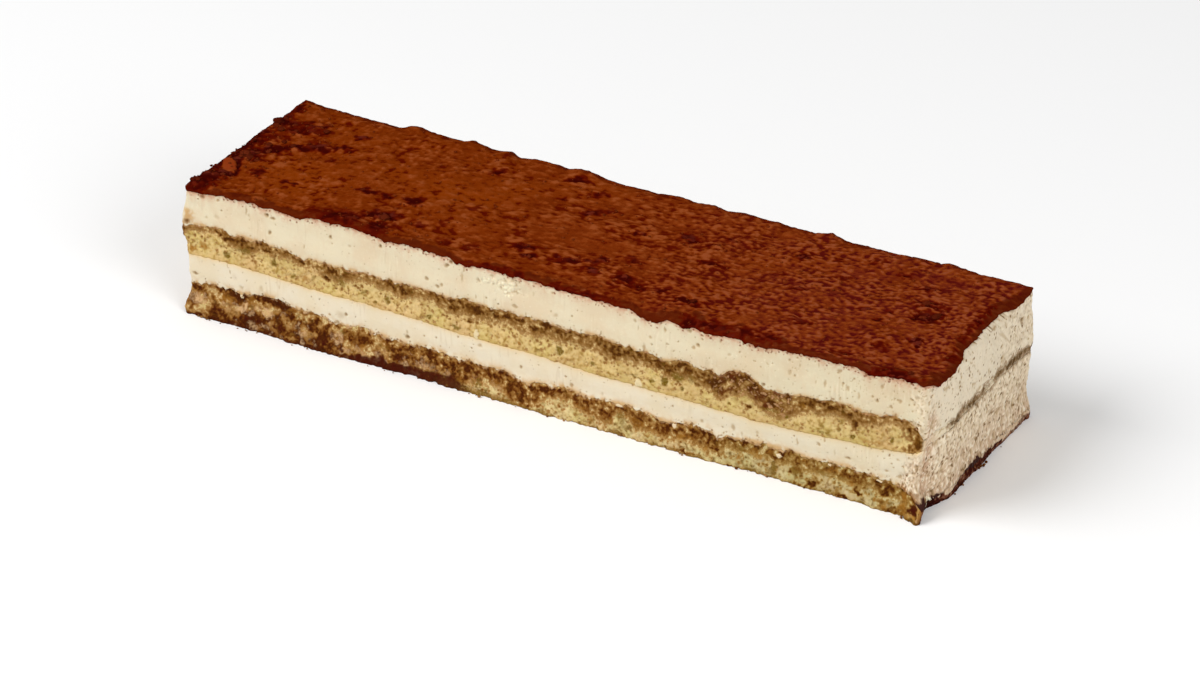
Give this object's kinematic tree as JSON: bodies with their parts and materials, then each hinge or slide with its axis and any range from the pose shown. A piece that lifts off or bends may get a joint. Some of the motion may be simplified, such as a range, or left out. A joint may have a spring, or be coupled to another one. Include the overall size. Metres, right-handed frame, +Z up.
{
  "type": "tiramisu bar cake",
  "caption": "Long rectangular tiramisu bar: coffee-soaked ladyfinger sponge and mascarpone cream in alternating layers under a crust of sifted cocoa.",
  "frame": {"origin": "centre of the bar's footprint, on the surface it stands on", "axes": "+X along the bar towards the end with the rounded ladyfinger noses, +Y across the bar away from the cut side that faces the viewer, +Z up"},
  "size_m": [0.3512, 0.0994, 0.0625],
  "materials": {
    "soaked_sponge": "open sponge crumb, coffee-soaked brown mottled with tan, moist matt",
    "pale_sponge": "open sponge crumb, pale yellow with a brown coffee-soaked band along its top, moist matt",
    "cream_lower": "whipped mascarpone cream, soft satin with small air pits",
    "cream_upper": "whipped mascarpone cream, soft satin with small air pits and knife drag marks",
    "cocoa": "sifted cocoa powder, dry and fully matt, with lumps and dark moist patches"
  },
  "bodies": {
    "root": {"sponge_lower": "soaked_sponge", "cream_lower": "cream_lower", "sponge_upper": "pale_sponge", "cream_upper": "cream_upper", "cocoa_crust": "cocoa"}
  },
  "joints": []
}
